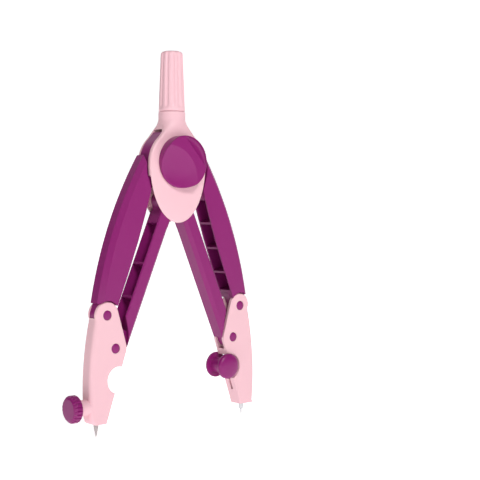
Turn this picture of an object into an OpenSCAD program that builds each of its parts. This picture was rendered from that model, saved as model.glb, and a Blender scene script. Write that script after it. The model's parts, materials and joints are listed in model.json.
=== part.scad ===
// Drawing compass with parallel arms, a locking knob, a clamped lead and a needle
// with a sliding point guard. Origin at the needle's point, +Z up along the grip,
// +X from the lead leg to the needle leg, the knob on the -Y side. Millimetres.

/* [Legs] */
// Angle of every arm from upright
leg_angle = 23.2; // [2:0.1:44]
// Distance between the two pivots of an arm
arm_length = 62.2; // [58:0.1:66]
// Sideways offset between the upper and lower pivot of a parallelogram
link_x = 3.8; // [3.6:0.1:4]
// Height of the upper pivot above the lower one
link_z = 13; // [12.5:0.1:13.5]
// Full thickness of an arm
arm_t = 8; // [7.8:0.1:8.1]
// Bow radius of the outer arm's outer edge
bow_r = 160; // [150:1:175]
// Bevel on the bowed edge
bow_bevel = 1.8; // [1:0.1:2]
// Bevel on the inner arm's edge
slim_bevel = 1.3; // [0.6:0.1:1.5]
// Side wall of the open channels
channel_wall = 0.65; // [0.6:0.05:0.7]
// Thickness of the cross ribs
rib_t = 0.9; // [0.6:0.1:1.2]

/* [Head] */
// Distance of each upper head pivot from the axis
head_pivot_x = 9.1; // [9:0.1:9.3]
// Half width of the head
head_w = 14.1; // [13.8:0.1:14.6]
// Depth of the head below its widest level
head_drop = 23.4; // [23:0.1:24]
// Full thickness of the head
head_t = 10.2; // [10.1:0.1:10.6]
// Width of the slot for the arm tongues
head_slot = 6; // [5.9:0.1:6.1]
// Radius of the round neck
neck_r = 5.45; // [5.2:0.05:5.6]

/* [Grip] */
// Radius at the foot of the grip
grip_r = 5.3; // [5:0.05:5.4]
// Radius at the top of the grip
grip_top_r = 4.4; // [4.2:0.05:4.6]
// Length of the grip
grip_h = 24.2; // [22:0.1:28]
// Number of flutes round the grip
flutes = 12; // [8:1:14]

/* [Knobs] */
// Radius of the lock knob
knob_r = 10.4; // [9.8:0.1:10.6]
// Height of the lock knob
knob_h = 4.5; // [4.2:0.1:5]
// Lean of the knob's thumb ridge from upright
ridge_angle = 42; // [0:1:90]
// Radius of the lead clamp knob
clamp_r = 5.3; // [5:0.1:5.5]
// Length of the lead clamp knob
clamp_l = 3.6; // [3.4:0.1:4.4]
// Number of grooves round the lead clamp knob
clamp_grooves = 22; // [12:1:24]

/* [Feet] */
// Height of the upper foot pivot above the paper
foot_pivot_z = 47.15; // [47:0.05:47.5]
// Distance of the point outside the upper foot pivot
tip_out = 3.3; // [3.1:0.1:3.5]
// Full thickness of a foot
foot_t = 6.4; // [6.2:0.1:6.5]
// Width of the slot for the arm tongues
foot_slot = 3.8; // [3.7:0.1:3.9]
// Height of the foot's underside above the paper
foot_z = 5.5; // [5.2:0.1:6]
// Radius of the round notch on the inner edge
notch_r = 5.3; // [5.1:0.1:5.5]
// Radius of the rivet heads
rivet_r = 1.9; // [1.7:0.1:2.1]
// Radius of the lead
lead_r = 1; // [0.9:0.05:1.1]
// Radius of the needle
needle_r = 1.05; // [0.9:0.05:1.1]

/* [Needle guard] */
// Radius of the guard's round buttons
button_r = 5.25; // [5:0.05:5.3]

/* [Hidden] */
$fn = 96;

pink = "#facdd8";
purple = "#8e2a74";
steel = "#c9ccd1";
brass = "#c8a860";
graphite = "#4a4a4e";

eps = 0.01;          // overlap where two shapes of one piece are joined
gap = 0.05;          // running clearance of a pin or a screw
fit = 0.02;          // clearance between fixed pieces
far = 60;            // longer than any cut has to reach

// linkage
upper_x = head_pivot_x;
upper_z = foot_pivot_z + arm_length * cos(leg_angle);
lower_x = upper_x - link_x;
lower_z = upper_z - link_z;
knee_x = upper_x + arm_length * sin(leg_angle);
tip_x = knee_x + tip_out;
foot_lower_x = -tip_out - link_x;
foot_lower_z = foot_pivot_z - link_z;
head_tongue = head_slot - 0.3;
foot_tongue = foot_slot - 0.2;
tongue_r = 14.1;      // reach of the outer arm's tongue above its pivot
pin_r = 1.5;         // head pivot pins
shank_r = 1.2;       // foot rivet shanks

// head, measured from the level of the upper pivots
wide_z = 1.2;        // widest level
knob_up = 2.2;       // height of the knob's axis
slot_top = 15.2;     // upper end of the slot
slot_r = 1.2;        // its corners
neck_z = 19.5;       // where the flare has become the neck
grip_z = 22.4;       // foot of the grip
screw_in = 1.8;      // depth of the lock screw in its knob
skin = 0.9;          // skin left over the pockets
spigot_r = 2.6;
spigot_h = 16;

// arms, measured along the arm from its upper pivot
bow_peak = 9.85;     // greatest reach of the bowed edge
bow_level = -23;     // level of that reach
slim_in = -5.1;      // inner edge of the inner arm
slim_out = 0.8;      // outer edge of the inner arm
web_x = slim_in + 1.6;
gear_teeth = 14;
tooth_h = 0.75;

// feet, measured from the point
foot_bow_r = 126;
foot_out = 4.7;
foot_wide_z = 18;
notch_x = -8.7;
notch_z = 21.8;
clamp_z = 12.3;      // height of the lead clamp's axis
boss_x = 8.6;        // end of the clamp boss
boss_r = 3.1;
insert_r = 2.2;      // brass insert in the boss
stud_r = 1.5;
sleeve_r = 1.9;
button_x = -10.7;
button_z = 22.3;
guard_back = 3.3;    // depth of the guard's buttons' inner faces
web_t = 1.1;         // guard web
web_low = 18.8;
web_high = 24.8;

// an outline drawn as x and z, given its full thickness along y
module slab(t) { rotate([90, 0, 0]) linear_extrude(t, center = true) children(); }
// a round bar along y between two depths
module bar(r, y0, y1, x = 0, z = 0) {
    translate([x, y1, z]) rotate([90, 0, 0]) cylinder(r = r, h = y1 - y0);
}
module left_side() { mirror([1, 0, 0]) children(); }
// moves what is drawn about the compass axis so that the needle's point is the origin
module placed() { translate([-tip_x, 0, 0]) children(); }
module on_head() { translate([0, 0, upper_z]) children(); }
module on_upper_pivot() { translate([upper_x, 0, upper_z]) rotate([0, -leg_angle, 0]) children(); }
module on_lower_pivot() { translate([lower_x, 0, lower_z]) rotate([0, -leg_angle, 0]) children(); }
module on_foot() { translate([tip_x, 0, 0]) children(); }

// ---- head ----
// half an ellipse below the widest level, a circle above it, and a flare into the neck
module head_outline() {
    below = [for (a = [180 : 6 : 360]) [head_w * cos(a), wide_z + head_drop * sin(a)]];
    above = [for (a = [6 : 6 : 48]) [head_w * cos(a), wide_z + head_w * sin(a)]];
    flare = [[7.7, 13.4], [6.5, 15.3], [5.8, 17.4], [neck_r, neck_z]];
    right = concat(above, flare);
    left = [for (i = [len(right) - 1 : -1 : 0]) [-right[i][0], right[i][1]]];
    polygon(concat(below, right, left));
}

// room for the arms' thick bodies to swing in behind the skin when the compass closes
module pocket_outline() {
    polygon([[-far, -far], [far, -far], [far, -3.4], [13.4, -3.4], [8.4, -9.3], [8.4, -15.6],
             [-8.4, -15.6], [-8.4, -9.3], [-13.4, -3.4], [-far, -3.4]]);
}

// the slot seen from the side, with its upper corners rounded
module slot_section() {
    translate([-head_slot / 2, -far]) square([head_slot, far + slot_top - slot_r]);
    translate([slot_r - head_slot / 2, 0]) square([head_slot - 2 * slot_r, slot_top]);
    for (s = [-1, 1]) translate([s * (head_slot / 2 - slot_r), slot_top - slot_r]) circle(r = slot_r);
}

module head_yoke() {
    color(pink) on_head() difference() {
        union() {
            slab(head_t) head_outline();
            translate([0, 0, neck_z - eps]) cylinder(r = neck_r, h = grip_z - neck_z + eps);
            translate([0, 0, grip_z - eps]) cylinder(r = spigot_r, h = spigot_h);
        }
        translate([-far / 2, 0, 0]) rotate([90, 0, 90]) linear_extrude(far) slot_section();
        slab(head_t - 2 * skin) pocket_outline();
        bar(pin_r + gap, -head_t, head_t, 0, knob_up);
        for (s = [-1, 1]) {
            bar(pin_r, -head_t / 2 + skin, head_t, s * upper_x, 0);
            bar(pin_r, -head_t / 2 + skin, head_t, s * lower_x, -link_z);
        }
        nut_shape(3.05, 1.9);
    }
}

// the hexagon of the captive nut, sunk in the back of the yoke
module nut_shape(r, t) {
    translate([0, head_t / 2 - t, knob_up]) rotate([-90, 0, 0]) cylinder(r = r, h = t + eps, $fn = 6);
}

module clamp_nut() {
    color(steel) on_head() difference() {
        translate([0, -0.1, 0]) nut_shape(3, 1.75);
        bar(pin_r + gap, 0, head_t, 0, knob_up);
    }
}

// four pins, driven in from the back and ending blind behind the front skin
module head_pivot_pins() {
    color(steel) on_head() for (s = [-1, 1]) {
        bar(pin_r, -head_t / 2 + skin, head_t / 2 - 0.1, s * upper_x, 0);
        bar(pin_r, -head_t / 2 + skin, head_t / 2 - 0.1, s * lower_x, -link_z);
    }
}

module grip() {
    color(pink) on_head() translate([0, 0, grip_z + 0.1]) difference() {
        rotate_extrude() polygon([[0, 0], [grip_r - 0.1, 0], [grip_r, 1.4], [grip_top_r, grip_h - 0.9],
                                  [grip_top_r - 0.35, grip_h - 0.25], [grip_top_r - 1, grip_h], [0, grip_h]]);
        translate([0, 0, -1]) cylinder(r = spigot_r + fit, h = spigot_h + 1.2);
        for (i = [0 : flutes - 1]) rotate([0, 0, i * 360 / flutes])
            translate([grip_r + 0.75, 0, 1.5]) rotate([0, -2.2, 0]) cylinder(r = 1.15, h = grip_h + 1);
    }
}

// ---- lock knob ----
// a hollow across the knob's face, given its middle, half width and depth
module dish(x, half_width, depth) {
    r = (half_width * half_width + depth * depth) / (2 * depth);
    translate([x, 0, knob_h - depth + r]) rotate([90, 0, 0]) cylinder(r = r, h = 4 * knob_r, center = true, $fn = 180);
}

module lock_knob() {
    color(purple) on_head() translate([0, -head_t / 2 - 0.1, knob_up]) rotate([90, -ridge_angle, 0])
    difference() {
        rotate_extrude() polygon([[0, 0], [knob_r - 0.4, 0], [knob_r, 0.4], [knob_r, knob_h - 1.2],
                                  [knob_r - 1, knob_h - 0.3], [knob_r - 2, knob_h], [0, knob_h]]);
        dish(-9.9, 12.6, 3.5);
        dish(9.8, 3.6, 1.2);
        translate([0, 0, -eps]) cylinder(r = 4.1, h = 0.5);
        translate([0, 0, -eps]) cylinder(r = pin_r, h = screw_in + eps);
    }
}

module clamp_screw() {
    color(steel) on_head()
        bar(pin_r, -head_t / 2 - 0.1 - screw_in, head_t / 2 - 0.15, 0, knob_up);
}

module knob_washer() {
    color(steel) on_head() difference() {
        bar(4, -head_t / 2 - 0.55, -head_t / 2 - 0.05, 0, knob_up);
        bar(pin_r, -head_t, 0, 0, knob_up);
    }
}

// ---- outer arm: drawn about its upper pivot, hanging straight down, +x outwards ----
function bow(z) = bow_peak - bow_r + sqrt(bow_r * bow_r - pow(z - bow_level, 2));
outer_inside = [[0.2, -9.9], [-0.9, -20], [-1.8, -31], [-2.3, -43], [-2.65, -arm_length]];

module outer_body_outline() {
    difference() {
        polygon(concat([[4.4, -5], [6.9, 0], [7.6, 1.2], [8.2, 2.2], [far, 2.2], [far, 2.8 - arm_length],
                        [-2.65, 2.8 - arm_length]],
                       [for (i = [len(outer_inside) - 2 : -1 : 0]) outer_inside[i]]));
        circle(r = 6.3);
        translate([0, -arm_length]) circle(r = 5.6);
    }
}

// the tongue in the head: a hub round the pivot and a shoulder that fills the slot's side
module outer_head_tongue_outline() {
    circle(r = 5);
    intersection() {
        polygon([[-4.6, 2], [2, 14.2], [far, 14.2], [far, -22], [-1, -22], [0.2, -9.9], [-2, -4.6]]);
        union() {
            circle(r = tongue_r);
            translate([-far, -2 * far]) square(2 * far);
        }
        translate([bow_peak - bow_r, bow_level]) circle(r = bow_r, $fn = 360);
        rotate(-leg_angle) translate([-head_pivot_x, 0]) head_outline();
    }
}

// a disc cut off on the inside, where the inner arm comes alongside when closed
module outer_foot_tongue_outline() {
    translate([0, -arm_length]) {
        circle(r = 2.7);
        intersection() {
            circle(r = 4.8);
            translate([-2.65, -far / 2]) square(far);
        }
        polygon([[-2.65, 7], [5, 7], [4.8, 0], [-2.65, 0]]);
    }
}

// a large disc with a bevelled rim: it rounds the arm's bowed edge
module bow_disc() {
    h = arm_t / 2;
    translate([bow_peak - bow_r, 0, bow_level]) rotate([90, 0, 0])
        rotate_extrude($fn = 360)
            polygon([[100, -h], [bow_r - bow_bevel, -h], [bow_r, bow_bevel - h], [bow_r, h - bow_bevel],
                     [bow_r - bow_bevel, h], [100, h]]);
}

module outer_channel_outline() {
    difference() {
        polygon([[-far, -14], [far, -14], [far, 8.4 - arm_length], [-far, 8.4 - arm_length]]);
        difference() {
            square(4 * far, center = true);
            translate([bow_peak - bow_r, bow_level]) circle(r = bow_r - channel_wall - 0.6, $fn = 360);
        }
        for (i = [0 : 2]) translate([-far, -24.4 - 10.8 * i]) square([2 * far, rib_t]);
    }
}

module outer_arm() {
    color(purple) on_upper_pivot() difference() {
        union() {
            intersection() {
                slab(arm_t) outer_body_outline();
                bow_disc();
            }
            slab(head_tongue) outer_head_tongue_outline();
            slab(foot_tongue) outer_foot_tongue_outline();
        }
        slab(arm_t - 2 * channel_wall) outer_channel_outline();
        bar(pin_r + gap, -arm_t, arm_t);
        bar(shank_r + gap, -arm_t, arm_t, 0, -arm_length);
    }
}

// ---- inner arm: drawn about its upper pivot, hanging straight down ----
module gear_outline(turn) {
    pitch_r = lower_x;
    circle(r = pitch_r - tooth_h - 0.15);
    for (i = [0 : gear_teeth - 1]) rotate((i + turn) * 360 / gear_teeth)
        polygon([[pitch_r - 1.3, -0.75], [pitch_r - 0.2, -0.52], [pitch_r + tooth_h - 0.15, -0.18],
                 [pitch_r + tooth_h - 0.15, 0.18], [pitch_r - 0.2, 0.52], [pitch_r - 1.3, 0.75]]);
}

// the gear's used sector, cut away where the outer arm passes when closed; turn is a
// fraction of a tooth, so that a tooth of one arm meets a gap of the other
module inner_head_tongue_outline(turn) {
    circle(r = 3);
    intersection() {
        rotate(-leg_angle) gear_outline(turn);
        polygon([[0, 0], [-7, 12], [-14, 12], [-14, -8], [-3, -8]]);
    }
    polygon([[slim_in, -10], [slim_in, -2], [-3, 0], [3, 0], [slim_out, -4], [slim_out, -10]]);
}

module inner_foot_tongue_outline() {
    translate([0, -arm_length]) {
        circle(r = 4.2);
        polygon([[slim_in, 14], [slim_in, 5], [-3.4, -2], [0, 0], [slim_out, 4], [slim_out, 8.2],
                 [web_x, 8], [web_x, 14]]);
    }
}

module slim_section() {
    h = arm_t / 2;
    polygon([[slim_in, slim_bevel - h], [slim_in + slim_bevel, -h], [slim_out - 0.4, -h], [slim_out, 0.4 - h],
             [slim_out, h - 0.4], [slim_out - 0.4, h], [slim_in + slim_bevel, h], [slim_in, h - slim_bevel]]);
}

// open below, with the web cut back to the line the foot reaches when the compass closes
module inner_channel_outline() {
    difference() {
        polygon([[web_x, -7.4], [far, -7.4], [far, -far - arm_length], [-5.35, -far - arm_length],
                 [-5.35, 1.45 - arm_length], [web_x, 7.75 - arm_length]]);
        for (u = [20.6, 34.6]) translate([-far, u - arm_length]) square([2 * far, rib_t]);
    }
}

// everything above the slanted lower end of the side walls
module inner_wall_outline() {
    polygon([[-far, 0], [far, 0], [far, 13 - arm_length], [slim_out, 13 - arm_length],
             [-2.2, 8.6 - arm_length], [-4.2, 5.1 - arm_length], [-5.35, 1.45 - arm_length],
             [-far, 1.45 - arm_length]]);
}

module inner_arm(turn) {
    color(purple) on_lower_pivot() difference() {
        union() {
            difference() {
                intersection() {
                    translate([0, 0, 1 - arm_length]) linear_extrude(arm_length - 1 - 5) slim_section();
                    slab(arm_t) inner_wall_outline();
                }
                slab(arm_t - 2 * channel_wall) inner_channel_outline();
            }
            slab(head_tongue) inner_head_tongue_outline(turn);
            slab(foot_tongue) inner_foot_tongue_outline();
        }
        bar(pin_r + gap, -arm_t, arm_t);
        bar(shank_r + 0.1, -arm_t, arm_t, 0, -arm_length);
    }
}

// ---- feet: drawn from the point upwards, +x outwards ----
module foot_outline(bottom_r) {
    difference() {
        union() {
            translate([-tip_out, foot_pivot_z]) circle(r = 5.2);
            translate([foot_lower_x, foot_lower_z]) circle(r = 5.2);
            intersection() {
                polygon([[-8.29, 48.6], [-12.09, 35.6], [-11.9, 32.4], [-2.9, foot_z], [8, foot_z],
                         [8, 47.15], [0, 47.15]]);
                translate([foot_out - foot_bow_r, foot_wide_z]) circle(r = foot_bow_r, $fn = 360);
            }
        }
        translate([notch_x, notch_z]) circle(r = notch_r);
        difference() {
            translate([4.1 - bottom_r, foot_z - 1]) square([6, 1 + bottom_r]);
            translate([4.1 - bottom_r, foot_z + bottom_r]) circle(r = bottom_r);
        }
    }
}

module foot_slot_outline() {
    polygon([[-far, far], [far, far], [far, 46.9], [2.2, 46.9], [1.6, 45.8], [0.9, 43.2], [-2.6, 30.2],
             [-7, 29.4], [-far, 29.4]]);
}

// bottom_r rounds the outer bottom corner
module plain_foot(bottom_r) {
    difference() {
        slab(foot_t) foot_outline(bottom_r);
        slab(foot_slot) foot_slot_outline();
        bar(rivet_r + fit, -foot_t, -foot_t / 2 + 0.7, -tip_out, foot_pivot_z);
        bar(rivet_r + fit, foot_t / 2 - 0.7, foot_t, -tip_out, foot_pivot_z);
        bar(shank_r + fit, -foot_t, foot_t, -tip_out, foot_pivot_z);
        bar(rivet_r + fit, -foot_t, -foot_t / 2 + 0.7, foot_lower_x, foot_lower_z);
        bar(rivet_r + fit, foot_t / 2 - 0.7, foot_t, foot_lower_x, foot_lower_z);
        bar(shank_r + fit, -foot_t, foot_t, foot_lower_x, foot_lower_z);
    }
}

module foot_rivets() {
    color(purple) on_foot() for (p = [[-tip_out, foot_pivot_z], [foot_lower_x, foot_lower_z]]) {
        bar(rivet_r, -foot_t / 2 - 0.1, -foot_t / 2 + 0.7, p[0], p[1]);
        bar(rivet_r, foot_t / 2 - 0.7, foot_t / 2 + 0.1, p[0], p[1]);
        bar(shank_r, -foot_t / 2, foot_t / 2, p[0], p[1]);
    }
}

// ---- lead leg ----
module lead_foot() {
    color(pink) left_side() on_foot() difference() {
        union() {
            plain_foot(2.4);
            translate([0, 0, clamp_z]) rotate([0, 90, 0]) cylinder(r = boss_r, h = boss_x);
        }
        translate([0, 0, foot_z - 1]) cylinder(r = lead_r + 0.02, h = 24);
        translate([0, 0, clamp_z]) rotate([0, 90, 0]) cylinder(r = insert_r, h = far);
    }
}

module lead() {
    color(graphite) left_side() on_foot() rotate_extrude()
        polygon([[0, 0], [0.12, 0.1], [lead_r, 4.6], [lead_r, 26], [0, 26]]);
}

module clamp_insert() {
    color(brass) left_side() on_foot() translate([0, 0, clamp_z]) rotate([0, 90, 0]) difference() {
        translate([0, 0, 1.3]) cylinder(r = insert_r, h = boss_x - 1.5);
        cylinder(r = stud_r + gap, h = far);
    }
}

module lead_clamp_stud() {
    color(steel) left_side() on_foot() translate([lead_r + 0.05, 0, clamp_z]) rotate([0, 90, 0])
        cylinder(r = stud_r, h = boss_x + 1.4);
}

module lead_clamp_knob() {
    color(purple) left_side() on_foot() translate([boss_x + 0.3, 0, clamp_z]) rotate([0, 90, 0])
    difference() {
        rotate_extrude() polygon([[0, 0], [clamp_r - 0.5, 0], [clamp_r, 0.6], [clamp_r, clamp_l - 1],
                                  [clamp_r - 0.5, clamp_l], [0, clamp_l]]);
        for (i = [0 : clamp_grooves - 1]) rotate([0, 0, i * 360 / clamp_grooves])
            translate([clamp_r + 0.15, 0, -1]) cylinder(r = 0.45, h = clamp_l - 0.2);
        translate([0, 0, -1]) cylinder(r = stud_r, h = 3.2);
    }
}

// ---- needle leg ----
module needle_foot() {
    color(pink) on_foot() difference() {
        plain_foot(0.4);
        translate([0, 0, foot_z - 1]) cylinder(r = sleeve_r + 0.1, h = 28.2 - foot_z);
        cylinder(r = needle_r, h = 34);
        translate([-far, -web_t / 2 - 0.1, 11.6]) cube([far, web_t + 0.2, web_high + 0.6 - 11.6]);
    }
}

module needle() {
    color(steel) on_foot() rotate_extrude()
        polygon([[0, 0], [0.1, 0.1], [0.45, 2.7], [needle_r, 3.1], [needle_r, 34], [0, 34]]);
}

module guard_sleeve() {
    color(steel) on_foot() translate([0, 0, 6.3]) difference() {
        cylinder(r = sleeve_r, h = 20);
        translate([0, 0, -1]) cylinder(r = needle_r + gap, h = 22);
    }
}

// a button with a turned, slightly domed face
module front_button() {
    translate([0, -guard_back, 0]) rotate([90, 0, 0]) rotate_extrude()
        polygon([[0, 0], [button_r, 0], [button_r, 1.3], [button_r - 0.6, 1.9], [button_r - 2.2, 2.4],
                 [0, 2.6]]);
}

// round button, hub and the web that reaches the sleeve through the foot's slit
module guard_front_button() {
    color(purple) on_foot() {
        translate([button_x, 0, button_z]) {
            difference() {
                union() {
                    front_button();
                    bar(3.2, -guard_back - eps, guard_back);
                }
                bar(1.3, 1, 4);
            }
        }
        translate([button_x + 2.6, -web_t / 2, web_low])
            cube([-button_x - 2.6 - sleeve_r, web_t, web_high - web_low]);
    }
}

module guard_rear_button() {
    color(purple) on_foot() translate([button_x, 0, button_z]) {
        bar(button_r, guard_back, guard_back + 0.9);
        bar(1.3, 1.2, guard_back + eps);
    }
}

placed() head_yoke();
placed() grip();
placed() head_pivot_pins();
placed() clamp_nut();
placed() lock_knob();
placed() clamp_screw();
placed() knob_washer();
placed() left_side() outer_arm();  // outer_arm_left
placed() outer_arm();  // outer_arm_right
placed() left_side() inner_arm(0);  // inner_arm_left
placed() inner_arm(0.5);  // inner_arm_right
placed() lead_foot();
placed() left_side() foot_rivets();  // lead_foot_rivets
placed() lead();
placed() clamp_insert();
placed() lead_clamp_knob();
placed() lead_clamp_stud();
placed() needle_foot();
placed() foot_rivets();  // needle_foot_rivets
placed() needle();
placed() guard_sleeve();
placed() guard_front_button();
placed() guard_rear_button();
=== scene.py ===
"""Gives a packed drawing compass its finished shells, surfaces and stage."""

import json
from math import cos, pi, radians, sin, sqrt

import bmesh
import bpy
import numpy as np
from bpy.props import FloatProperty, FloatVectorProperty, IntProperty, PointerProperty
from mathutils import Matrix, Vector


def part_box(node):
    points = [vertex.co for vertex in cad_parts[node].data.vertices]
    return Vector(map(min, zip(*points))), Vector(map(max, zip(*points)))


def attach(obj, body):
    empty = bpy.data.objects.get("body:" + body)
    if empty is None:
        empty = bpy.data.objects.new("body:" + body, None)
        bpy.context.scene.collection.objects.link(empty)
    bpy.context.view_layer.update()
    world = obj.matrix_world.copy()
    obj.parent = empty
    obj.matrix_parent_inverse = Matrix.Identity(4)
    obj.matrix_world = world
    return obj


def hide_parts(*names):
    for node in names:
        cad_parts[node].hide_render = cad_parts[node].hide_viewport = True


bl_info = {
    "name": "Drawing compass",
    "version": (1, 0, 0),
    "blender": (4, 5, 0),
    "location": "3D View > Sidebar > Compass",
    "description": "Builds the shells, knobs, feet and finishes of a drawing compass",
    "category": "Add Mesh",
}

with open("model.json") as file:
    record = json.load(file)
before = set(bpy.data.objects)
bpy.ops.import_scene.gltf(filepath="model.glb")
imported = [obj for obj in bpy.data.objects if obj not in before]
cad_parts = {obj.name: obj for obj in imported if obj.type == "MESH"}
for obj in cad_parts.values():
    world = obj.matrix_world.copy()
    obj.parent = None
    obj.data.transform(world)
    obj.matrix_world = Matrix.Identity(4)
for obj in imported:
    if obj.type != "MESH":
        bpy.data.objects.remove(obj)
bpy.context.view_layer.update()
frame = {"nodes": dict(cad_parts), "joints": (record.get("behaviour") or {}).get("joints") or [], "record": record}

MM = 0.001
DOUBLED = 2e-6  # points of a mesh closer than this are one point, in metres
PIVOT = {j["name"]: Vector(j["pos_m"]) / MM for j in frame["joints"] if "pos_m" in j}
UPPER = PIVOT["fold"]
LINK = PIVOT["fold_inner_right"] - UPPER
AXIS_X = (UPPER.x + PIVOT["fold_outer_left"].x) / 2
HEAD_Z = UPPER.z
FOOT_PIN = PIVOT["needle_foot_pivot"]
LEAD_X = PIVOT["lead_foot_pivot"].x + FOOT_PIN.x
CLAMP_Z = PIVOT["lead_clamp_turn"].z
KNOB_Z = PIVOT["lock_knob_turn"].z
HEAD_HALF = -PIVOT["lock_knob_turn"].y
BOSS_END = LEAD_X - PIVOT["lead_clamp_turn"].x


def cad_box(node):
    """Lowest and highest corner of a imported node, in millimetres."""
    low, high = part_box(node)
    return low / MM, high / MM


# ---------------------------------------------------------------- sizes and colours


def length(name, millimetres, text):
    return FloatProperty(
        name=name, description=text, default=millimetres * MM, unit="LENGTH", precision=5
    )


def colour(name, red, green, blue, text):
    return FloatVectorProperty(
        name=name,
        description=text,
        subtype="COLOR",
        default=(red, green, blue),
        min=0,
        max=1,
    )


class CompassSizes(bpy.types.PropertyGroup):
    """Sizes of the rounded edges and surface details"""

    head_edge: length("Head edge", 0.9, "Radius that rounds the rim of the head")
    head_crown: length("Head crown", 0.55, "How far the head's face swells over its rim")
    foot_edge: length("Foot edge", 1.6, "Radius that rounds the bowed edge of a foot")
    foot_rim: length("Foot rim", 0.3, "Radius that rounds the other edges of a foot")
    arm_edge: length("Arm edge", 0.22, "Radius that breaks the edges of an arm")
    dish_depth: length("Dish depth", 3.6, "Depth of the lock knob's large thumb dish")
    flute_depth: length("Flute depth", 0.42, "Depth of the grip's flutes")
    flutes: IntProperty(
        name="Flutes", description="Flutes round the grip", default=12, min=6, max=20
    )
    knurl_depth: length("Knurl depth", 0.42, "Depth of the lead clamp knob's grooves")
    knurls: IntProperty(
        name="Knurls", description="Ribs round the lead clamp knob", default=22, min=8, max=36
    )


class CompassColours(bpy.types.PropertyGroup):
    """Colours of the finishes"""

    pink: colour("Pink", 0.90, 0.555, 0.615, "Moulded plastic of the head, grip and feet")
    purple: colour("Purple", 0.27, 0.013, 0.158, "Moulded plastic of the arms and knobs")
    steel: colour("Steel", 0.62, 0.62, 0.64, "Pins, screw and needle")
    brass: colour("Brass", 0.70, 0.50, 0.22, "Threaded insert")
    graphite: colour("Graphite", 0.45, 0.42, 0.42, "Sharpened lead")
    paper: colour("Paper", 0.93, 0.93, 0.93, "Floor and backdrop")


# ---------------------------------------------------------------- materials


class Wire:
    """An output socket that can be used in sums; every sum adds one Math node."""

    def __init__(self, tree, socket):
        self.tree = tree
        self.socket = socket

    def maths(self, operation, left, right):
        node = self.tree.nodes.new("ShaderNodeMath")
        node.operation = operation
        for slot, value in zip(node.inputs, (left, right)):
            if isinstance(value, Wire):
                self.tree.links.new(value.socket, slot)
            else:
                slot.default_value = value
        return Wire(self.tree, node.outputs[0])

    def __add__(self, other):
        return self.maths("ADD", self, other)

    __radd__ = __add__

    def __sub__(self, other):
        return self.maths("SUBTRACT", self, other)

    def __rsub__(self, other):
        return self.maths("SUBTRACT", other, self)

    def __mul__(self, other):
        return self.maths("MULTIPLY", self, other)

    __rmul__ = __mul__


class Finish:
    """A material in the making, around one Principled shader."""

    def __init__(self, name, **constants):
        if name in bpy.data.materials:
            bpy.data.materials.remove(bpy.data.materials[name])
        self.material = bpy.data.materials.new(name)
        self.material.use_nodes = True
        self.tree = self.material.node_tree
        self.shader = self.tree.nodes["Principled BSDF"]
        for socket, value in constants.items():
            self.shader.inputs[socket.replace("_", " ")].default_value = value
        self.place = self.node("ShaderNodeTexCoord", output="Object")

    def node(self, kind, settings=None, sockets=None, output=0):
        """Adds any node: its settings and ramp stops first, then its sockets' values or links."""
        made = self.tree.nodes.new(kind)
        for key, value in (settings or {}).items():
            if key == "stops":
                ramp = made.color_ramp.elements
                while len(ramp) < len(value):
                    ramp.new(0.5)
                for stop, (position, tint) in zip(ramp, value):
                    stop.position = position
                    stop.color = tint
            else:
                setattr(made, key, value)
        for key, value in (sockets or {}).items():
            if isinstance(value, Wire):
                self.tree.links.new(value.socket, made.inputs[key])
            else:
                made.inputs[key].default_value = value
        return Wire(self.tree, made.outputs[output])

    def noise(self, scale, detail=2.0, stretch=(1, 1, 1)):
        """Cloudy noise with about scale features to the metre, drawn out along an axis."""
        place = self.node(
            "ShaderNodeMapping", sockets={"Vector": self.place, "Scale": stretch}
        )
        return self.node(
            "ShaderNodeTexNoise", sockets={"Vector": place, "Scale": scale, "Detail": detail}
        )

    def mix(self, first, second, factor):
        return self.node(
            "ShaderNodeMix",
            {"data_type": "RGBA"},
            {0: factor, 6: first, 7: second},
            output=2,
        )

    def feed(self, socket, wire):
        self.tree.links.new(wire.socket, self.shader.inputs[socket])

    def bump(self, height, strength, distance):
        normal = self.node(
            "ShaderNodeBump",
            sockets={"Height": height, "Strength": strength, "Distance": distance},
        )
        self.feed("Normal", normal)


def shade(tint, factor):
    """The tint made lighter or darker by a factor, with full alpha."""
    return (*[min(1.0, c * factor) for c in tint], 1.0)


def moulded_plastic(name, tint, gloss, shine, soft):
    """Satin moulded plastic: faint flow clouds, fine spark grain and a few handling rubs."""
    finish = Finish(name, Specular_IOR_Level=shine, IOR=1.49)
    clouds = finish.noise(55, 3.0, (1, 1, 0.45))
    rubs = finish.noise(900, 4.0, (1, 1, 0.12))
    grain = finish.noise(5200, 2.0)
    finish.feed("Base Color", finish.mix(shade(tint, 1 - soft), shade(tint, 1 + soft), clouds))
    finish.feed("Roughness", gloss + 0.10 * (rubs - 0.5) + 0.08 * (clouds - 0.5))
    finish.bump(grain + 0.35 * rubs, 0.18, 0.00003)
    return finish.material


def turned_metal(name, tint, gloss, rings):
    """Turned metal: fine tool rings across the length and a little uneven polish."""
    finish = Finish(name, Metallic=1.0)
    ring = finish.node(
        "ShaderNodeTexWave",
        {"wave_type": "BANDS", "bands_direction": "Z"},
        {"Vector": finish.place, "Scale": rings, "Distortion": 0.6, "Detail": 1.0},
    )
    polish = finish.noise(400, 3.0)
    finish.feed("Base Color", finish.mix(shade(tint, 0.93), shade(tint, 1.05), polish))
    finish.feed("Roughness", gloss + 0.12 * (polish - 0.5) + 0.05 * ring)
    finish.bump(ring, 0.12, 0.00002)
    return finish.material


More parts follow.
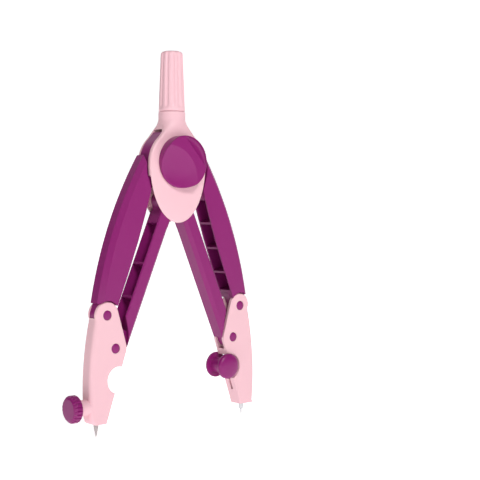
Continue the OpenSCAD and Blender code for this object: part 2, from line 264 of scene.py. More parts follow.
def sharpened_graphite(name, tint):
    """Graphite: a dull sheen with the streaks that sharpening leaves along the cone."""
    finish = Finish(name, Metallic=0.25)
    streaks = finish.noise(2600, 3.0, (1, 1, 0.08))
    finish.feed("Base Color", finish.mix(shade(tint, 0.75), shade(tint, 1.2), streaks))
    finish.feed("Roughness", 0.42 + 0.16 * (streaks - 0.5))
    finish.bump(streaks, 0.25, 0.00003)
    return finish.material


def matt_paper(name, tint):
    """Plain matt paper with a barely visible tooth, lit through like a light table."""
    finish = Finish(
        name, Specular_IOR_Level=0.1, Emission_Color=(1, 1, 1, 1), Emission_Strength=0.72
    )
    tooth = finish.noise(1500, 2.0)
    finish.feed("Base Color", finish.mix(shade(tint, 0.995), shade(tint, 1.005), tooth))
    finish.feed("Roughness", 0.9 + 0.04 * (tooth - 0.5))
    return finish.material


def make_finishes(tints):
    """One material for each slot of the record, and the paper."""
    return {
        "pink_plastic": moulded_plastic("pink_plastic", tints.pink, 0.40, 0.3, 0.015),
        "purple_plastic": moulded_plastic("purple_plastic", tints.purple, 0.34, 0.35, 0.05),
        "steel": turned_metal("steel", tints.steel, 0.24, 2400),
        "brass": turned_metal("brass", tints.brass, 0.30, 2000),
        "graphite": sharpened_graphite("graphite", tints.graphite),
        "paper": matt_paper("paper", tints.paper),
    }


def finish_of(slot):
    return bpy.data.materials[slot]


# ---------------------------------------------------------------- meshes


def put_mesh(name, points, faces):
    """Makes a linked object from points in millimetres and lists of corner numbers."""
    mesh = bpy.data.meshes.new(name)
    mesh.from_pydata((points * MM).tolist(), [], [list(face) for face in faces])
    obj = bpy.data.objects.new(name, mesh)
    bpy.context.scene.collection.objects.link(obj)
    return obj


def ring_faces(rings, corners):
    """Quads between neighbouring closed rings, and one face over each end."""
    row = np.arange(rings - 1)[:, None] * corners
    here = np.arange(corners)[None, :]
    after = (here + 1) % corners
    quads = np.stack(
        [row + here, row + after, row + corners + after, row + corners + here], -1
    ).reshape(-1, 4)
    ends = [np.arange(corners)[::-1], np.arange(corners) + (rings - 1) * corners]
    return quads.tolist() + [end.tolist() for end in ends]


def ring_solid(name, rings):
    """A closed skin over a stack of closed rings, an array of rings by corners by xyz."""
    count, corners, _ = rings.shape
    obj = put_mesh(name, rings.reshape(-1, 3), ring_faces(count, corners))
    clean(obj)
    return obj


def clean(obj):
    """Merges doubled points, drops flat faces and turns every face outwards."""
    work = bmesh.new()
    work.from_mesh(obj.data)
    bmesh.ops.remove_doubles(work, verts=work.verts, dist=DOUBLED)
    bmesh.ops.dissolve_degenerate(work, dist=1e-6, edges=work.edges)
    bmesh.ops.recalc_face_normals(work, faces=work.faces)
    work.to_mesh(obj.data)
    work.free()


def bake_modifiers(obj):
    """Replaces the mesh by what its modifiers make of it."""
    view = bpy.context.evaluated_depsgraph_get()
    made = bpy.data.meshes.new_from_object(obj.evaluated_get(view))
    obj.modifiers.clear()
    obj.data = made


def combine(obj, others, operation):
    """Cuts the others out of a closed mesh, or joins them to it, and uses them up."""
    for other in others:
        step = obj.modifiers.new("combine", "BOOLEAN")
        step.operation = operation
        step.solver = "MANIFOLD"
        step.object = other
        bake_modifiers(obj)
        bpy.data.objects.remove(other)
    clean(obj)


def smooth(obj, crease=35):
    """Smooth shading that keeps creases and lets large flat faces stay flat."""
    obj.data.shade_smooth()
    obj.data.set_sharp_from_angle(angle=radians(crease))
    weigh = obj.modifiers.new("weigh", "WEIGHTED_NORMAL")
    weigh.keep_sharp = True
    bake_modifiers(obj)


def arc(centre, radius, start, end, steps):
    """Points of a circle about centre from one angle to another, in degrees."""
    turn = np.radians(np.linspace(start, end, steps))
    return np.stack([centre[0] + radius * np.cos(turn), centre[1] + radius * np.sin(turn)], -1)


def inset(outline, distance):
    """Moves every point of an anticlockwise outline inwards along the bisector of its edges."""
    before = outline - np.roll(outline, 1, 0)
    after = np.roll(outline, -1, 0) - outline
    before = before / np.linalg.norm(before, axis=1, keepdims=True)
    after = after / np.linalg.norm(after, axis=1, keepdims=True)
    normal = np.stack([-before[:, 1] - after[:, 1], before[:, 0] + after[:, 0]], -1)
    reach = np.maximum(1 + (before * after).sum(1, keepdims=True), 0.35)
    return outline + distance * normal / reach


def plate(name, outline, front, back, edge=None, steps=5):
    """
    A plate across Y with rounded edges: rings of one outline in x and z. Up the quarter
    round of the edge a ring moves inwards by edge times 1 - cos, and back by edge
    times 1 - sin. The edge may differ from point to point.
    """
    if edge is None:
        levels = [(0.0, back), (0.0, front)]
    else:
        edge = np.broadcast_to(edge, len(outline))
        turn = np.linspace(0, pi / 2, steps + 1)
        levels = [(edge * (1 - cos(t)), back - edge * (1 - sin(t))) for t in turn[::-1]]
        levels += [(edge * (1 - cos(t)), front + edge * (1 - sin(t))) for t in turn]
    rings = []
    for amount, y in levels:
        flat = outline if np.isscalar(amount) else inset(outline, amount[:, None])
        rings.append(np.stack([flat[:, 0], np.broadcast_to(y, len(flat)), flat[:, 1]], -1))
    return ring_solid(name, np.array(rings))


def lathe(name, profile, axis, at, corners=96, ribs=None):
    """
    A solid of revolution about an axis through at. The profile lists distance along the
    axis and radius; ribs, if given, changes the radius as a function of level and angle.
    """
    profile = np.asarray(profile, float)
    turn = np.linspace(0, 2 * pi, corners, endpoint=False)
    level = np.repeat(profile[:, :1], corners, 1)
    radius = np.repeat(profile[:, 1:], corners, 1)
    if ribs is not None:
        radius = ribs(level, radius, turn[None, :])
    along = np.array(axis, float)
    side = np.array([0, 0, 1.0]) if abs(along[2]) < 0.5 else np.array([1.0, 0, 0])
    other = np.cross(along, side)
    rings = (
        np.array(at, float)
        + level[..., None] * along
        + (radius * np.cos(turn))[..., None] * side
        + (radius * np.sin(turn))[..., None] * other
    )
    return ring_solid(name, rings)


def y_bore(name, at, radius, start, end, corners=48):
    """A plain cylinder along Y, from start to end of at, for cutting a bore."""
    return lathe(name, [(start, radius), (end, radius)], (0, 1, 0), at, corners)


def round_corners(points, radius, steps=5):
    """
    Rounds the corners of an open profile: each makes way for a parabola tangent to both
    sides, the quadratic Bezier curve that has the corner as its middle point.
    """
    points = np.asarray(points, float)
    made = [points[:1]]
    for before, corner, after in zip(points, points[1:], points[2:]):
        into = before - corner
        out = after - corner
        reach = min(np.linalg.norm(into), np.linalg.norm(out)) * 0.49
        into = into / np.linalg.norm(into)
        out = out / np.linalg.norm(out)
        half = np.arccos(np.clip(into @ out, -1, 1)) / 2
        start = min(radius / np.tan(half), reach)
        share = np.linspace(0, 1, steps + 1)[:, None]
        first = corner + into * start
        last = corner + out * start
        pull = 2 * share * (1 - share) * corner
        made.append((1 - share) ** 2 * first + pull + share**2 * last)
    made.append(points[-1:])
    return np.concatenate(made)


def finish_piece(obj, slot, body, nodes):
    """Gives a piece its material, ties it to its body and hides the nodes it replaces."""
    obj.data.materials.clear()
    obj.data.materials.append(finish_of(slot))
    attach(obj, body)
    if nodes:
        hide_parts(*nodes)


# ---------------------------------------------------------------- head

# Millimetres; heights count from the upper pivots.
WIDE = 1.2  # level of the widest part
DROP = 23.4  # from there down to the lower end
FLARE_ANGLE = 48  # where the flare to the neck leaves the round side, in degrees
FLARE_Z = 13.0  # where the flat form starts to turn round
NECK_Z = 19.5  # where the neck begins
NECK_R = 5.45
GRIP_Z = 22.4  # the neck's end and the grip's foot
CROWN_REACH = 8  # how far in from the rim the crown still swells
SLOT = 3.0  # half width of the arms' slot
SLOT_TOP = 15.2
SLOT_R = 1.2  # radius of the slot's upper corners
POCKET = HEAD_HALF - 0.9  # half depth of the room for the arms
SCREW_BORE_R = 1.56
NUT_SEAT_R = 3.06
NUT_SEAT_DEPTH = 1.9
PIN_BORE_R = 1.5
WAY_OUT = 8  # any level outside the head, for bores that break through
BELOW = 40.0  # any height under the head and above the ground
PAST = 30  # any distance that clears the head sideways and downwards


def head_side(half_width):
    """
    Half of the head's outline, x and z from the bottom up: a quarter of an ellipse, an
    arc of a circle, and a cubic that leaves it on its tangent and becomes the neck.
    """
    low = np.linspace(-pi / 2, 0, 56)
    below = np.stack([half_width * np.cos(low), WIDE + DROP * np.sin(low)], -1)
    above = arc((0, WIDE), half_width, 3, FLARE_ANGLE, 16)
    share = np.linspace(0, 1, 18)[1:, None]
    first = above[-1]
    last = np.array([NECK_R, NECK_Z])
    leave = 8.5 * np.array([-sin(radians(FLARE_ANGLE)), cos(radians(FLARE_ANGLE))])
    arrive = 7.0 * np.array([0, 1])
    flare = (
        (1 + 2 * share) * (1 - share) ** 2 * first
        + share * (1 - share) ** 2 * leave
        + share**2 * (3 - 2 * share) * last
        + share**2 * (share - 1) * arrive
    )
    neck = [(NECK_R, GRIP_Z - 0.3), (NECK_R - 0.08, GRIP_Z - 0.1), (NECK_R - 0.3, GRIP_Z)]
    return np.concatenate([below, above, flare, neck])


def edge_distance(x, z, outline):
    """Distance from every point to the nearest stretch of an outline."""
    start = outline[:-1]
    run = outline[1:] - start
    point = np.stack([x, z], -1)[..., None, :]
    share = ((point - start) * run).sum(-1) / np.maximum((run * run).sum(-1), 1e-9)
    near = start + np.clip(share, 0, 1)[..., None] * run
    return np.sqrt(((point - near) ** 2).sum(-1)).min(-1)


def head_rings(half_width, half_depth, edge, crown):
    """
    Level rings of the head. A point's depth is the half depth less a fall near the rim:
    a quarter round of the edge radius, and a gentle crown beyond it. Towards the neck
    the ring turns into a circle.
    """
    side = head_side(half_width)
    corners = np.cos(np.linspace(0, pi, 57))
    x = side[:, :1] * corners
    z = np.repeat(side[:, 1:], corners.size, 1)
    near = edge_distance(x, z, np.concatenate([side * (-1, 1), side[::-1]]))
    rounding = edge - np.sqrt(np.maximum(edge**2 - np.maximum(edge - near, 0) ** 2, 0))
    swell = crown * np.clip(1 - near / CROWN_REACH, 0, 1) ** 2
    flat = half_depth - rounding - swell
    circle = np.sqrt(np.maximum(side[:, :1] ** 2 - x**2, 0))
    share = np.clip((z - FLARE_Z) / (NECK_Z - FLARE_Z), 0, 1)
    share = share * share * (3 - 2 * share)
    depth = flat * (1 - share) + circle * share
    front = np.stack([x, -depth, z], -1)
    back = np.stack([-x, depth, z], -1)
    return np.concatenate([front, back], 1) + np.array([AXIS_X, 0, HEAD_Z])


def across(name, outline, x0, x1):
    """A straight bar along X with an outline in y and z."""
    ends = [np.insert(outline, 0, x, 1) for x in (x0, x1)]
    return ring_solid(name, np.array(ends))


def build_head(sizes):
    """
    The shell of level rings, less a slot with round upper corners that runs through from
    side to side, the pocket in which the arms swing, and the round bores of the lock
    screw and the four pivot pins. The nut's seat is a six-sided bore.
    """
    low, high = cad_box("head_yoke")
    half_width = (high.x - low.x) / 2
    rings = head_rings(half_width, HEAD_HALF, sizes.head_edge / MM, sizes.head_crown / MM)
    head = ring_solid("head_shell", rings)
    top = HEAD_Z + SLOT_TOP - SLOT_R
    slot = np.concatenate(
        [
            [(-SLOT, BELOW), (SLOT, BELOW)],
            arc((SLOT - SLOT_R, top), SLOT_R, 0, 90, 12),
            arc((SLOT_R - SLOT, top), SLOT_R, 90, 180, 12),
        ]
    )
    cuts = [across("slot", slot, AXIS_X - PAST, AXIS_X + PAST)]
    right = np.array([(PAST, -PAST), (PAST, -3.4), (13.4, -3.4), (8.4, -9.3), (8.4, -15.6)])
    rebate = np.concatenate([right, right[::-1] * (-1, 1)])
    cuts.append(plate("rebate", rebate + (AXIS_X, HEAD_Z), -POCKET, POCKET))
    screw = (AXIS_X, 0, KNOB_Z)
    cuts.append(y_bore("bore", screw, SCREW_BORE_R, -WAY_OUT, WAY_OUT))
    cuts.append(y_bore("nut_seat", screw, NUT_SEAT_R, HEAD_HALF - NUT_SEAT_DEPTH, WAY_OUT, 6))
    for sign in (-1, 1):
        for offset in (Vector((0, 0, 0)), LINK):
            place = (AXIS_X + sign * (UPPER.x - AXIS_X + offset.x), 0, HEAD_Z + offset.z)
            cuts.append(y_bore("pin_seat", place, PIN_BORE_R, -POCKET, WAY_OUT, 40))
    combine(head, cuts, "DIFFERENCE")
    smooth(head, 40)
    finish_piece(head, "pink_plastic", "head", ["head_yoke"])


GRIP_TAPER = 0.9  # how much thinner the grip is at its top
FLUTE_START = 1.5  # where the flutes begin above the grip's foot
FLUTE_SHARE = 0.86  # how much of a flute's pitch is hollow, as the sine of half its angle
DOME = (1.1, 1.9)  # height and radius of the round at the grip's top


def build_grip(sizes):
    """
    A tapered lathe form with a domed top. Its radius falls by the flute depth times
    1 - (w / share)^2.4, where w is |sin| of the turn times half the number of flutes.
    """
    low, high = cad_box("grip")
    tall = high.z - low.z
    foot = (high.x - low.x) / 2
    tip = foot - GRIP_TAPER
    depth = sizes.flute_depth / MM
    count = sizes.flutes
    outer = [(0, foot - 0.35), (0.12, foot - 0.12), (0.35, foot), (1.2, foot)]
    taper = np.linspace(FLUTE_START, tall - DOME[0], 44)
    shaft = np.stack([taper, foot + (tip - foot) * taper / tall], -1)
    crown = arc((0, 0), 1, 0, 90, 12)
    dome = (tall - DOME[0], tip - DOME[1]) + DOME * crown[:, ::-1]
    profile = np.concatenate([[(0, 3.0)], outer, shaft, dome[1:]])

    def flute(level, radius, turn):
        start = np.clip((level - FLUTE_START) / 1.3, 0, 1)
        stop = np.clip((tall - 0.2 - level) / 1.6, 0, 1)
        wave = np.abs(np.sin(turn * count / 2))
        hollow = 1 - np.clip(wave / FLUTE_SHARE, 0, 1) ** 2.4
        return radius - depth * hollow * np.sqrt(start) * stop

    grip = lathe("grip_handle", profile, (0, 0, 1), (AXIS_X, 0, low.z), 288, flute)
    smooth(grip, 50)
    finish_piece(grip, "pink_plastic", "head", ["grip"])


# ---------------------------------------------------------------- lock knob

RIDGE_LEAN = 42  # how far the ridge leans, in degrees
KNOB_EDGE = 0.35  # radius of the round at the knob's rim
LARGE_DISH = (-11.0, 13.7)  # centre across the ridge and radius
NARROW_DISH = (9.2, 3.0)  # centre across the ridge and half width
NARROW_SHARE = 0.33  # depth of the narrow dish as a share of the large one
RIM_WALL = 0.45  # rim left beside the narrow dish
SHORE = 1.3  # width over which the narrow dish rises to that rim


def build_lock_knob(sizes):
    """
    A disc with two dishes either side of a leaning ridge, u across it and v along it. The
    large dish falls by the dish depth times 1 - ((u - centre)^2 + v^2) / radius^2, and
    runs out over the rim. The narrow one is a trough whose fall is a half ellipse in u,
    and it rises to a thin rim along a quarter round.
    """
    low, high = cad_box("lock_knob")
    rim = (high.x - low.x) / 2
    tall = high.y - low.y
    depth = sizes.dish_depth / MM
    turn = np.linspace(0, 2 * pi, 256, endpoint=False)
    round_off = np.linspace(0.1, pi / 2, 8)
    flat = np.linspace(0.02, rim - KNOB_EDGE, 110)
    radius = np.concatenate([flat, rim - KNOB_EDGE * (1 - np.sin(round_off))])
    fall = np.concatenate([0 * flat, KNOB_EDGE * (1 - np.cos(round_off))])
    u = radius[:, None] * np.cos(turn)
    v = radius[:, None] * np.sin(turn)
    inwards = np.clip((rim - RIM_WALL - radius[:, None]) / SHORE, 0, 1)
    shore = np.sqrt(inwards * (2 - inwards))
    large = np.clip(1 - ((u - LARGE_DISH[0]) ** 2 + v**2) / LARGE_DISH[1] ** 2, 0, 1)
    small = np.sqrt(np.clip(1 - ((u - NARROW_DISH[0]) / NARROW_DISH[1]) ** 2, 0, 1))
    height = tall - depth * (large + NARROW_SHARE * shore * small) - fall[:, None]
    top = np.stack([u, v, height], -1)[::-1]
    wall = [(rim, 0.25), (rim, 0.12), (rim - 0.12, 0.0), (0.02, 0.0)]
    around = np.stack([np.cos(turn), np.sin(turn)], -1)
    skirt = [np.concatenate([r * around, np.full((len(turn), 1), h)], 1) for r, h in wall]
    local = np.concatenate([np.array(skirt[::-1]), top])
    lean = radians(RIDGE_LEAN)
    x = local[..., 0] * cos(lean) - local[..., 1] * sin(lean)
    z = local[..., 0] * sin(lean) + local[..., 1] * cos(lean)
    rings = np.stack([AXIS_X + x, high.y - local[..., 2], KNOB_Z + z], -1)
    knob = ring_solid("lock_knob_cap", rings)
    smooth(knob, 24)
    finish_piece(knob, "purple_plastic", "lock_knob", ["lock_knob"])


# ---------------------------------------------------------------- arms


CREASE = 32  # edges of an arm that turn by more than this many degrees are broken


def build_arm(node, sizes):
    """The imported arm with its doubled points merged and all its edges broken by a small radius."""
    arm = bpy.data.objects.new("moulded_" + node, frame["nodes"][node].data.copy())
    bpy.context.scene.collection.objects.link(arm)
    work = bmesh.new()
    work.from_mesh(arm.data)
    bmesh.ops.remove_doubles(work, verts=work.verts, dist=DOUBLED)
    bmesh.ops.dissolve_limit(work, angle_limit=radians(0.6), verts=work.verts, edges=work.edges)
    work.to_mesh(arm.data)
    work.free()
    edge = arm.modifiers.new("edge", "BEVEL")
    edge.width = sizes.arm_edge
    edge.segments = 3
    edge.limit_method = "ANGLE"
    edge.angle_limit = radians(CREASE)
    edge.use_clamp_overlap = True
    bake_modifiers(arm)
    smooth(arm, 35)
    finish_piece(arm, "purple_plastic", node, [node])


# ---------------------------------------------------------------- feet

# Millimetres in x and z from the needle's point, +x outwards.
CHEEK_R = 5.2  # rounds over the two pivots
FOOT_Z = 5.5  # level of the foot's bottom
FOOT_X = (-2.9, 4.1)  # inner and outer corner of the bottom
BOW = (-121.3, 18.0)  # centre of the bowed outer edge
BOW_R = 126.0
NOTCH = (-8.7, 21.8)
NOTCH_R = 5.3
LEAVE_ANGLE = 200  # where the tapering edge leaves the lower round, in degrees
CORNER_R = {"lead": 2.4, "needle": 0.4}
FORK_HALF = 1.9
RIVET_R = 1.9
SEAT_R = 1.98
SEAT_DEPTH = 0.7
BOSS_R = 3.1
INSERT_R = 2.2
LEAD_BORE = (4, 28, 1.06)  # lower and upper end, radius
SLEEVE_BORE = (4, 27.2, 2.0)
SLIT_Z = (11.6, 25.4)
SLIT_HALF = 0.65
BEYOND = 60  # any distance outside the foot, for cuts that break through


def circle_crossing(first, r1, second, r2, side):
    """One of the two points where two circles cross; side picks it."""
    a = np.array(first, float)
    gap = np.array(second, float) - a
    reach = np.hypot(*gap)
    along = (reach**2 + r1**2 - r2**2) / (2 * reach)
    up = sqrt(r1**2 - along**2)
    run = gap / reach
    return a + along * run + side * up * np.array([-run[1], run[0]])


def line_circle(start, end, centre, radius):
    """Both points where a line crosses a circle, in the line's order."""
    start = np.array(start, float)
    run = np.array(end, float) - start
    run = run / np.hypot(*run)
    to = start - np.array(centre)
    half = sqrt((to @ run) ** 2 - to @ to + radius**2)
    return start + run * (-(to @ run) - half), start + run * (-(to @ run) + half)


def angle_of(point, centre):
    return np.degrees(np.arctan2(point[1] - centre[1], point[0] - centre[0]))


def foot_outline(corner_r, bowed, rim):
    """
    The foot from its point up, +x outwards, anticlockwise: the bowed outer edge, the round
    over the upper pivot, the tangent to the round over the lower pivot, the tapering
    inner edge with its round notch, and the bottom with its outer corner rounded. Also
    gives the edge radius at every point: bowed along the bow, rim everywhere else.
    """
    upper = np.array([FOOT_PIN.x, FOOT_PIN.z])
    lower = upper + (LINK.x, LINK.z)
    knee = circle_crossing(upper, CHEEK_R, BOW, BOW_R, 1)
    if knee[0] < upper[0]:
        knee = circle_crossing(upper, CHEEK_R, BOW, BOW_R, -1)
    tangent = np.degrees(np.arctan2(-LINK.x, LINK.z))
    leave = arc(lower, CHEEK_R, LEAVE_ANGLE, LEAVE_ANGLE, 1)[0]
    bottom = np.array([FOOT_X[0], FOOT_Z])
    into, out = line_circle(leave, bottom, NOTCH, NOTCH_R)
    start = angle_of(into, NOTCH)
    end = angle_of(out, NOTCH)
    corner = arc((FOOT_X[1] - corner_r, FOOT_Z + corner_r), corner_r, -90, 0, 9)
    bow_start = np.degrees(np.arcsin((FOOT_Z + corner_r - BOW[1]) / BOW_R))
    parts = [
        arc(BOW, BOW_R, bow_start, angle_of(knee, BOW), 40),
        arc(upper, CHEEK_R, angle_of(knee, upper), tangent, 36)[1:],
        arc(lower, CHEEK_R, tangent, LEAVE_ANGLE, 12),
        arc(NOTCH, NOTCH_R, start, end if end < start else end - 360, 30),
        bottom[None, :],
        corner[:-1],
    ]
    fade = np.linspace(0, 1, len(parts[1])) ** 0.5
    rise = np.linspace(0, 1, len(parts[5]))
    edges = [
        np.full(len(parts[0]), bowed),
        bowed + (rim - bowed) * fade,
        *[np.full(len(part), rim) for part in parts[2:5]],
        rim + (bowed - rim) * rise,
    ]
    return np.concatenate(parts), np.concatenate(edges)


def build_foot(leg, sizes):
    """
    One foot: a plate with rounded edges, a fork for the arms, and the bores of its leg. The
    lead's foot is the needle's foot reflected, with a boss for its clamp on the outside.
    """
    lead = leg == "lead"
    side = -1 if lead else 1
    shift = LEAD_X if lead else 0.0
    node = leg + "_foot"

    def placed(outline):
        return (outline * (side, 1) + (shift, 0))[::side]

    half = cad_box("needle_foot")[1].y
    outline, edges = foot_outline(CORNER_R[leg], sizes.foot_edge / MM, sizes.foot_rim / MM)
    foot = plate(node + "_shell", placed(outline), -half, half, edges[::side], 6)
    mouth = [(BEYOND, BEYOND), (-BEYOND, BEYOND), (-BEYOND, 29.4)]
    floor = [(-7, 29.4), (-2.6, 30.2), (0.9, 43.2), (1.6, 45.8), (2.2, 46.9), (BEYOND, 46.9)]
    cuts = [plate("fork", placed(np.array(mouth + floor)), -FORK_HALF, FORK_HALF)]
    for pin in (FOOT_PIN, FOOT_PIN + LINK):
        at = (side * pin.x + shift, 0, pin.z)
        cuts.append(y_bore("seat", at, SEAT_R, -6, SEAT_DEPTH - half))
        cuts.append(y_bore("seat", at, SEAT_R, half - SEAT_DEPTH, 6))
    if lead:
        stub = [(0, 0.01), (0, BOSS_R), (BOSS_END, BOSS_R), (BOSS_END, 0.01)]
        clamp = (shift, 0, CLAMP_Z)
        boss = lathe("boss", round_corners(stub, 0.4), (-1, 0, 0), clamp, 72)
        combine(foot, [boss], "UNION")
        low, high, radius = LEAD_BORE
        hole = [(low, radius), (high, radius)]
        cuts.append(lathe("lead_bore", hole, (0, 0, 1), (shift, 0, 0), 40))
        hole = [(0, INSERT_R), (BOSS_END + 0.5, INSERT_R)]
        cuts.append(lathe("insert_bore", hole, (-1, 0, 0), clamp, 48))
    else:
        low, high, radius = SLEEVE_BORE
        hole = [(low, radius), (high, radius)]
        cuts.append(lathe("sleeve_bore", hole, (0, 0, 1), (0, 0, 0), 48))
        low, high = SLIT_Z
        slit = np.array([(-BEYOND, low), (0, low), (0, high), (-BEYOND, high)])
        cuts.append(plate("slit", slit, -SLIT_HALF, SLIT_HALF))
    combine(foot, cuts, "DIFFERENCE")
    smooth(foot, 35)
    finish_piece(foot, "pink_plastic", node, [node])


def build_rivets(leg):
    """Two rivets, each a lathe form with low domed heads and a shank between them."""
    half = cad_box("needle_foot")[1].y
    dome = [(0.1, 0.01), (0.08, 0.9), (0.02, 1.5), (-0.08, 1.82), (-0.2, RIVET_R)]
    head = [*dome, (0.05 - SEAT_DEPTH, RIVET_R), (-SEAT_DEPTH, 1.2)]
    profile = [(-half - level, radius) for level, radius in head]
    profile += [(half + level, radius) for level, radius in head[::-1]]
    made = []
    for pin in (FOOT_PIN, FOOT_PIN + LINK):
        x = LEAD_X - pin.x if leg == "lead" else pin.x
        made.append(lathe(leg + "_rivets", profile, (0, 1, 0), (x, 0, pin.z), 64))
    combine(made[0], made[1:], "UNION")
    smooth(made[0], 40)
    finish_piece(made[0], "purple_plastic", leg + "_foot", [leg + "_foot_rivets"])


# ---------------------------------------------------------------- lead clamp and guard


VALLEY_SHARE = 0.62  # how much of a rib's pitch is hollow, as the cosine of half its angle
DRUM_END = 1.5  # how far from the outer end the drum turns into the bevel


def build_clamp_knob(sizes):
    """
    A lathe form on its side. Ribs run along the drum: the radius falls by the knurl depth
    times 1 - (w / share)^2, where w is |cos| of the turn times half the number of ribs.
    The ribs fade out at both ends.
    """
    low, high = cad_box("lead_clamp_knob")
    rim = (high.z - low.z) / 2
    long = high.x - low.x
    depth = sizes.knurl_depth / MM
    count = sizes.knurls
    inner = [(0, 0.01), (0, rim - 0.4), (0.4, rim), (long - 1.1, rim)]
    bevel = [(long - 0.3, rim - 0.7), (long, rim - 1.4), (long, 0.01)]
    ends = round_corners(inner + bevel, 0.45, 4)
    drum = np.linspace(0.8, long - DRUM_END, 16)
    first = ends[ends[:, 0] < 0.75]
    last = ends[ends[:, 0] > long - DRUM_END + 0.02]
    profile = np.concatenate([first, np.stack([drum, np.full(16, rim)], -1), last])

    def knurl(level, radius, turn):
        start = np.clip((level - 0.1) / 0.3, 0, 1)
        stop = np.clip((long - 0.05 - level) / 0.6, 0, 1)
        wave = np.abs(np.cos(turn * count / 2))
        valley = 1 - np.clip(wave / VALLEY_SHARE, 0, 1) ** 2
        return radius - depth * valley * start * stop

    knob = lathe("clamp_knob_cap", profile, (-1, 0, 0), (high.x, 0, CLAMP_Z), 320, knurl)
    smooth(knob, 45)
    finish_piece(knob, "purple_plastic", "lead_clamp", ["lead_clamp_knob"])


HUB_R = 3.2
HUB_HALF = 3.3  # half length of the hub between the two buttons
WEB_Z = (18.8, 24.8)
WEB_HALF = 0.55


def build_guard():
    """Front and rear buttons: lathe forms with a softly crowned face, a hub and a thin web."""
    low, high = cad_box("guard_rear_button")
    rim = (high.x - low.x) / 2
    at = ((high.x + low.x) / 2, 0, (high.z + low.z) / 2)
    crown = [(-5.9, 0.01), (-5.87, 1.4), (-5.76, 2.6), (-5.52, 3.8), (-5.2, 4.6), (-4.8, 5.05)]
    edge = [(-4.4, rim), (-3.55, rim), (-3.38, rim - 0.1), (-HUB_HALF, rim - 0.3)]
    hub = [(-HUB_HALF, HUB_R + 0.2), (0.1 - HUB_HALF, HUB_R), (HUB_HALF, HUB_R), (HUB_HALF, 0.01)]
    front = lathe("guard_button_front", crown + edge + hub, (0, 1, 0), at, 120)
    low_z, high_z = WEB_Z
    root, end = at[0] + 2.6, -1.9
    web = np.array([(root, low_z), (end, low_z), (end, high_z), (root, high_z)])
    combine(front, [plate("web", web, -WEB_HALF, WEB_HALF)], "UNION")
    smooth(front, 35)
    finish_piece(front, "purple_plastic", "needle_guard", ["guard_front_button"])
    disc = [(HUB_HALF, 0.01), (HUB_HALF, rim), (high.y, rim), (high.y, 0.01)]
    rear = lathe("guard_button_rear", round_corners(disc, 0.3), (0, 1, 0), at, 120)
    smooth(rear, 35)
    finish_piece(rear, "purple_plastic", "needle_guard", ["guard_rear_button"])


# ---------------------------------------------------------------- stage

# Metres and degrees.
CAMERA = (-0.3113, -0.3554, 0.0876)
CAMERA_YAW = 41.17
CAMERA_PITCH = -1.57
CAMERA_LENS = 83.4  # millimetres, on a sensor 36 wide
SENSOR = 36
TARGET_Z = 0.07  # level that the lamps look at
BEND_R = 0.8  # bend between floor and backdrop
BEND_AT = 1.6  # how far behind the compass the floor starts to bend
FLOOR_START = -2.5
BACKDROP_TOP = 3.5
SIDEWAYS = 3.5
SKY = 0.07  # what the sky gives to the lighting
SKY_SEEN = 1.0  # what the camera sees of it


def lamp(name, place, target, size, watts):
    """A square soft white light that looks at a target."""
    light = bpy.data.lights.new(name, "AREA")
    light.size = size
    light.energy = watts
    obj = bpy.data.objects.new(name, light)
    obj.location = place
    obj.rotation_euler = (Vector(target) - Vector(place)).to_track_quat("-Z", "Y").to_euler()
    bpy.context.scene.collection.objects.link(obj)


def build_world():
    """A dim white sky that looks bright white where the camera sees it directly."""
    world = bpy.data.worlds.new("studio")
    world.use_nodes = True
    tree = world.node_tree
    dim = tree.nodes["Background"]
    bright = tree.nodes.new("ShaderNodeBackground")
    for sky, strength in ((dim, SKY), (bright, SKY_SEEN)):
        sky.inputs["Color"].default_value = (1, 1, 1, 1)
        sky.inputs["Strength"].default_value = strength
    blend = tree.nodes.new("ShaderNodeMixShader")
    path = tree.nodes.new("ShaderNodeLightPath")
    tree.links.new(path.outputs["Is Camera Ray"], blend.inputs[0])
    tree.links.new(dim.outputs[0], blend.inputs[1])
    tree.links.new(bright.outputs[0], blend.inputs[2])
    tree.links.new(blend.outputs[0], tree.nodes["World Output"].inputs["Surface"])
    bpy.context.scene.world = world


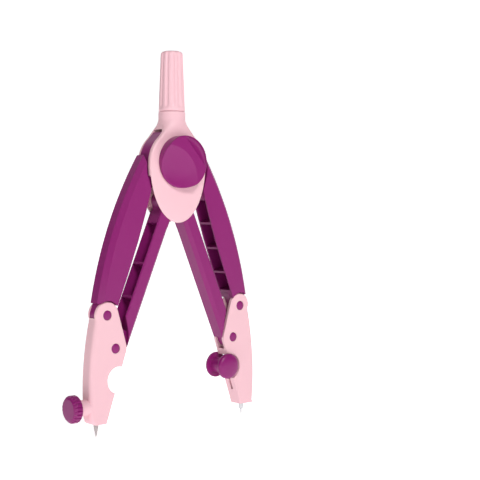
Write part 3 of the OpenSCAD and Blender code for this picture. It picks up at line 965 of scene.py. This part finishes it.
def build_stage():
    """
    Floor and backdrop are one sheet: a profile flat on the ground, then a quarter circle,
    then straight up, carried sideways across the view.
    """
    yaw = radians(CAMERA_YAW)
    away = np.array([sin(yaw), cos(yaw), 0.0])
    aside = np.array([cos(yaw), -sin(yaw), 0.0])
    bend = arc((BEND_AT, BEND_R), BEND_R, -90, 0, 24)
    profile = np.concatenate([[(FLOOR_START, 0.0)], bend, [(BEND_AT + BEND_R, BACKDROP_TOP)]])
    across_view = np.linspace(-SIDEWAYS, SIDEWAYS, 9)
    points = (
        np.array([AXIS_X * MM, 0, 0])
        + profile[:, None, :1] * away
        + profile[:, None, 1:] * np.array([0, 0, 1.0])
        + across_view[None, :, None] * aside
    )
    rows, columns = len(profile), len(across_view)
    first = (np.arange(rows - 1)[:, None] * columns + np.arange(columns - 1)).reshape(-1)
    quads = np.stack([first, first + 1, first + columns + 1, first + columns], -1)
    floor = put_mesh("floor", points.reshape(-1, 3) / MM, quads.tolist())
    floor.data.shade_smooth()
    floor.data.materials.append(finish_of("paper"))
    middle = (AXIS_X * MM, 0, TARGET_Z)
    lamp("key", (-0.30, -0.95, 0.80), middle, 0.30, 7.4)
    lamp("near", (-0.75, -0.60, 0.10), middle, 0.25, 0.8)
    lamp("top", (0.15, 0.05, 1.2), middle, 0.6, 0.8)
    build_world()
    bpy.context.scene.view_settings.view_transform = "Standard"
    lens = bpy.data.cameras.new("camera")
    lens.lens = CAMERA_LENS
    lens.sensor_width = SENSOR
    lens.clip_start = 0.01
    camera = bpy.data.objects.new("camera", lens)
    camera.location = CAMERA
    camera.rotation_euler = (radians(90 + CAMERA_PITCH), 0, -radians(CAMERA_YAW))
    bpy.context.scene.collection.objects.link(camera)
    bpy.context.scene.camera = camera


# ---------------------------------------------------------------- operators and panel


class COMPASS_OT_finishes(bpy.types.Operator):
    """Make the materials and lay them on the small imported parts"""

    bl_idname = "compass.finishes"
    bl_label = "Finishes"

    def execute(self, context):
        make_finishes(context.scene.compass_colours)
        for part in frame["record"]["subparts"]:
            mesh = frame["nodes"][part["node"]].data
            mesh.materials.clear()
            mesh.materials.append(finish_of(part["material_slot"]))
        return {"FINISHED"}


class COMPASS_OT_head(bpy.types.Operator):
    """Build the drop-shaped head with its neck and slot"""

    bl_idname = "compass.head"
    bl_label = "Head"

    def execute(self, context):
        build_head(context.scene.compass_sizes)
        return {"FINISHED"}


class COMPASS_OT_grip(bpy.types.Operator):
    """Build the fluted grip"""

    bl_idname = "compass.grip"
    bl_label = "Grip"

    def execute(self, context):
        build_grip(context.scene.compass_sizes)
        return {"FINISHED"}


class COMPASS_OT_lock_knob(bpy.types.Operator):
    """Build the lock knob with its thumb ridge"""

    bl_idname = "compass.lock_knob"
    bl_label = "Lock knob"

    def execute(self, context):
        build_lock_knob(context.scene.compass_sizes)
        return {"FINISHED"}


class COMPASS_OT_arms(bpy.types.Operator):
    """Break the edges of the four arms"""

    bl_idname = "compass.arms"
    bl_label = "Arms"

    def execute(self, context):
        for node in ("outer_arm_left", "outer_arm_right", "inner_arm_left", "inner_arm_right"):
            build_arm(node, context.scene.compass_sizes)
        return {"FINISHED"}


class COMPASS_OT_feet(bpy.types.Operator):
    """Build both feet and their rivets"""

    bl_idname = "compass.feet"
    bl_label = "Feet"

    def execute(self, context):
        for leg in ("needle", "lead"):
            build_foot(leg, context.scene.compass_sizes)
        for leg in ("needle", "lead"):
            build_rivets(leg)
        return {"FINISHED"}


class COMPASS_OT_lead_clamp(bpy.types.Operator):
    """Build the knurled knob that clamps the lead"""

    bl_idname = "compass.lead_clamp"
    bl_label = "Lead clamp"

    def execute(self, context):
        build_clamp_knob(context.scene.compass_sizes)
        return {"FINISHED"}


class COMPASS_OT_guard(bpy.types.Operator):
    """Build the buttons of the needle guard"""

    bl_idname = "compass.guard"
    bl_label = "Needle guard"

    def execute(self, context):
        build_guard()
        return {"FINISHED"}


class COMPASS_OT_stage(bpy.types.Operator):
    """Set the floor, lights and camera"""

    bl_idname = "compass.stage"
    bl_label = "Stage"

    def execute(self, context):
        build_stage()
        return {"FINISHED"}


STEPS = (
    COMPASS_OT_finishes,
    COMPASS_OT_head,
    COMPASS_OT_grip,
    COMPASS_OT_lock_knob,
    COMPASS_OT_arms,
    COMPASS_OT_feet,
    COMPASS_OT_lead_clamp,
    COMPASS_OT_guard,
    COMPASS_OT_stage,
)


class COMPASS_PT_panel(bpy.types.Panel):
    """Lists the building steps of the compass"""

    bl_label = "Compass"
    bl_idname = "COMPASS_PT_panel"
    bl_space_type = "VIEW_3D"
    bl_region_type = "UI"
    bl_category = "Compass"

    def draw(self, context):
        for step in STEPS:
            self.layout.operator(step.bl_idname)
        for group in (context.scene.compass_sizes, context.scene.compass_colours):
            for name in group.__annotations__:
                self.layout.prop(group, name)


CLASSES = (CompassSizes, CompassColours, *STEPS, COMPASS_PT_panel)


def register():
    for item in CLASSES:
        bpy.utils.register_class(item)
    bpy.types.Scene.compass_sizes = PointerProperty(type=CompassSizes)
    bpy.types.Scene.compass_colours = PointerProperty(type=CompassColours)


def unregister():
    del bpy.types.Scene.compass_colours
    del bpy.types.Scene.compass_sizes
    for item in reversed(CLASSES):
        bpy.utils.unregister_class(item)


def main():
    register()
    for step in STEPS:
        group, name = step.bl_idname.split(".")
        getattr(getattr(bpy.ops, group), name)()


if __name__ == "__main__":
    main()
